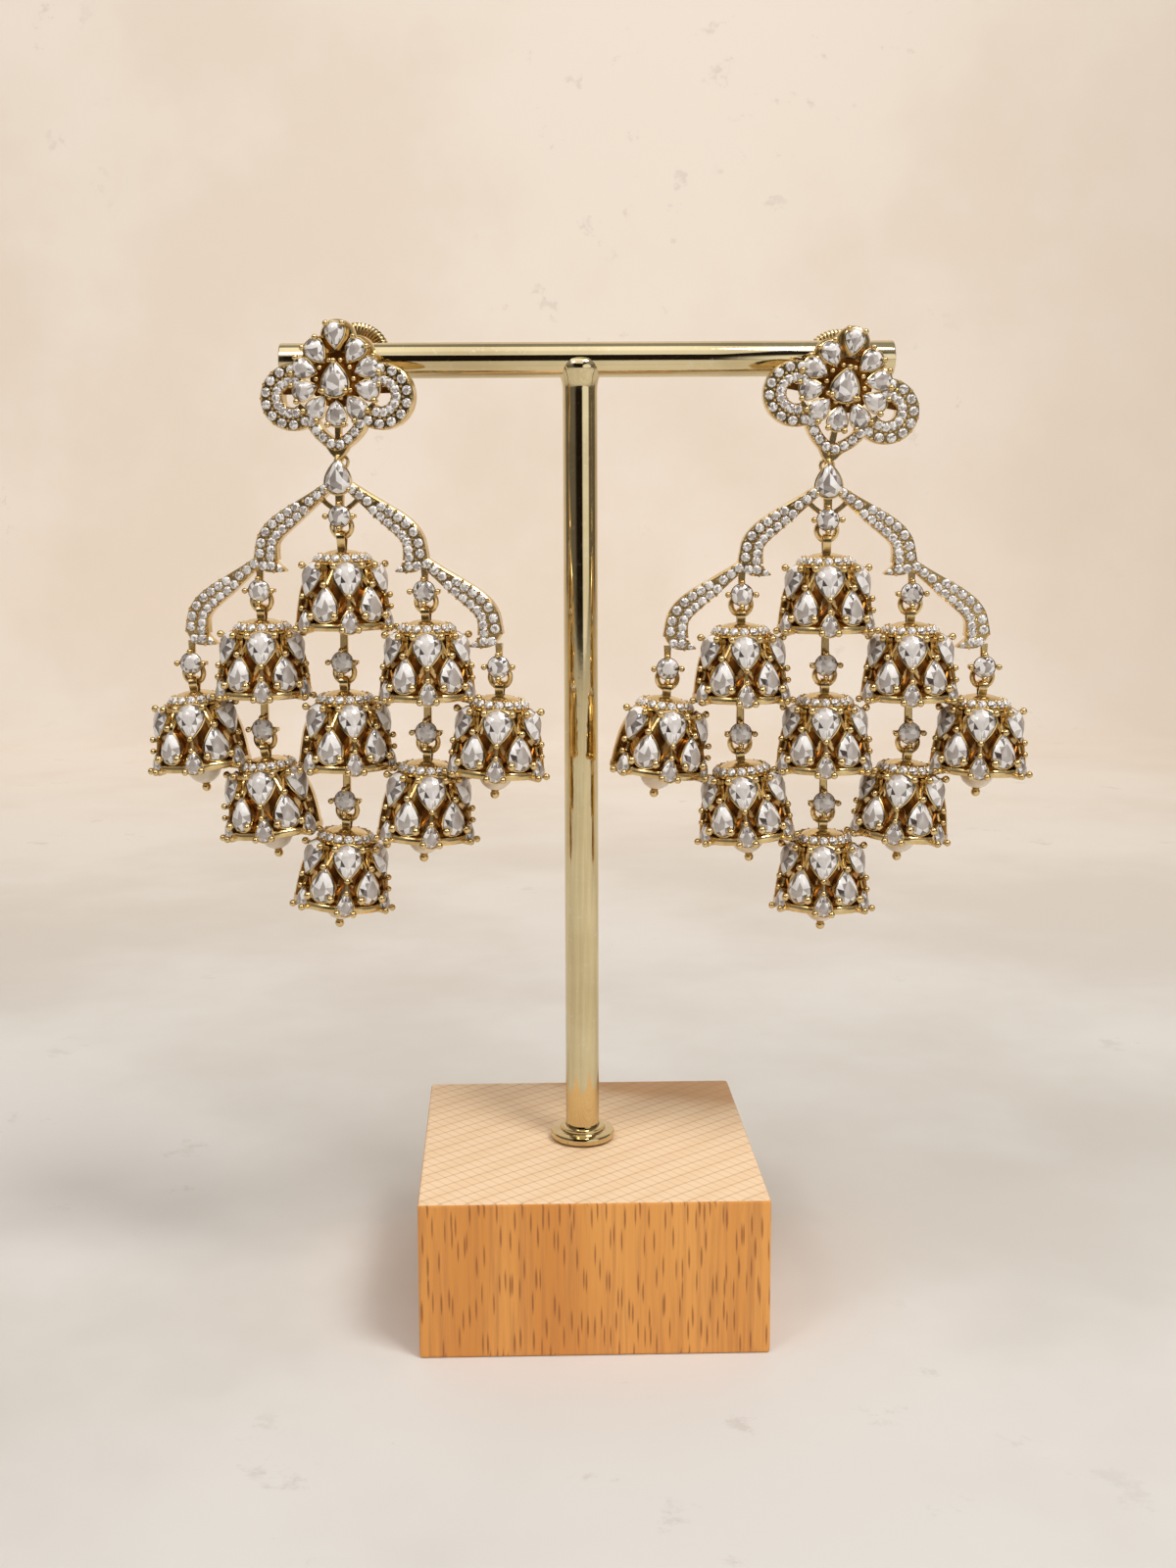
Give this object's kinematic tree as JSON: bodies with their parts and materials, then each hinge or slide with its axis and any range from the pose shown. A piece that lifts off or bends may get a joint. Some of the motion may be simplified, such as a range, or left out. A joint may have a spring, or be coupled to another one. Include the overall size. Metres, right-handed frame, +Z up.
{
  "type": "pair of chandelier earrings on a display stand",
  "caption": "Pair of gold chandelier earrings with tiers of stone-set bells and pearls, hanging by their ear posts from a T-shaped brass bar on a square wooden block.",
  "frame": {"origin": "centre of the underside of the wooden block", "axes": "+Z up the post; +X along the bar to the right; the earrings face -Y"},
  "size_m": [0.1282, 0.05, 0.1473],
  "materials": {
    "antique_gold": "warm antique gold plate, polished on the edges, with clear champagne stones",
    "pearl": "cream lustre of a pearl, with its gold pin",
    "stand_brass": "polished pale gold rod with faint scratches",
    "beech": "bare satin beech, end grain on top"
  },
  "bodies": {
    "stand": {"stand_base": "beech", "stand_foot": "stand_brass", "stand_rod": "stand_brass", "left_stud": "antique_gold", "left_stud_back": "antique_gold", "right_stud": "antique_gold", "right_stud_back": "antique_gold"},
    "left_drop": {"left_frame": "antique_gold", "left_bell_1": "antique_gold", "left_bell_2": "antique_gold", "left_bell_3": "antique_gold", "left_bell_4": "antique_gold", "left_bell_5": "antique_gold", "left_bell_6": "antique_gold", "left_bell_7": "antique_gold", "left_bell_8": "antique_gold", "left_bell_9": "antique_gold", "left_station_1": "antique_gold", "left_station_2": "antique_gold", "left_station_3": "antique_gold", "left_station_4": "antique_gold", "left_pearl_1": "pearl", "left_pearl_2": "pearl", "left_pearl_3": "pearl", "left_pearl_4": "pearl", "left_pearl_5": "pearl"},
    "right_drop": {"right_frame": "antique_gold", "right_bell_1": "antique_gold", "right_bell_2": "antique_gold", "right_bell_3": "antique_gold", "right_bell_4": "antique_gold", "right_bell_5": "antique_gold", "right_bell_6": "antique_gold", "right_bell_7": "antique_gold", "right_bell_8": "antique_gold", "right_bell_9": "antique_gold", "right_station_1": "antique_gold", "right_station_2": "antique_gold", "right_station_3": "antique_gold", "right_station_4": "antique_gold", "right_pearl_1": "pearl", "right_pearl_2": "pearl", "right_pearl_3": "pearl", "right_pearl_4": "pearl", "right_pearl_5": "pearl"}
  },
  "joints": [
    {"name": "left_drop_swing", "type": "hinge", "parent": "stand", "child": "left_drop", "pos_m": [-0.03536, -0.00477, 0.12765], "axis": [0.9816, -0.1908, 0], "range_deg": [-20, 20]},
    {"name": "right_drop_swing", "type": "hinge", "parent": "stand", "child": "right_drop", "pos_m": [0.03513, -0.00475, 0.12664], "axis": [0.9997, -0.0262, 0], "range_deg": [-20, 20]}
  ]
}
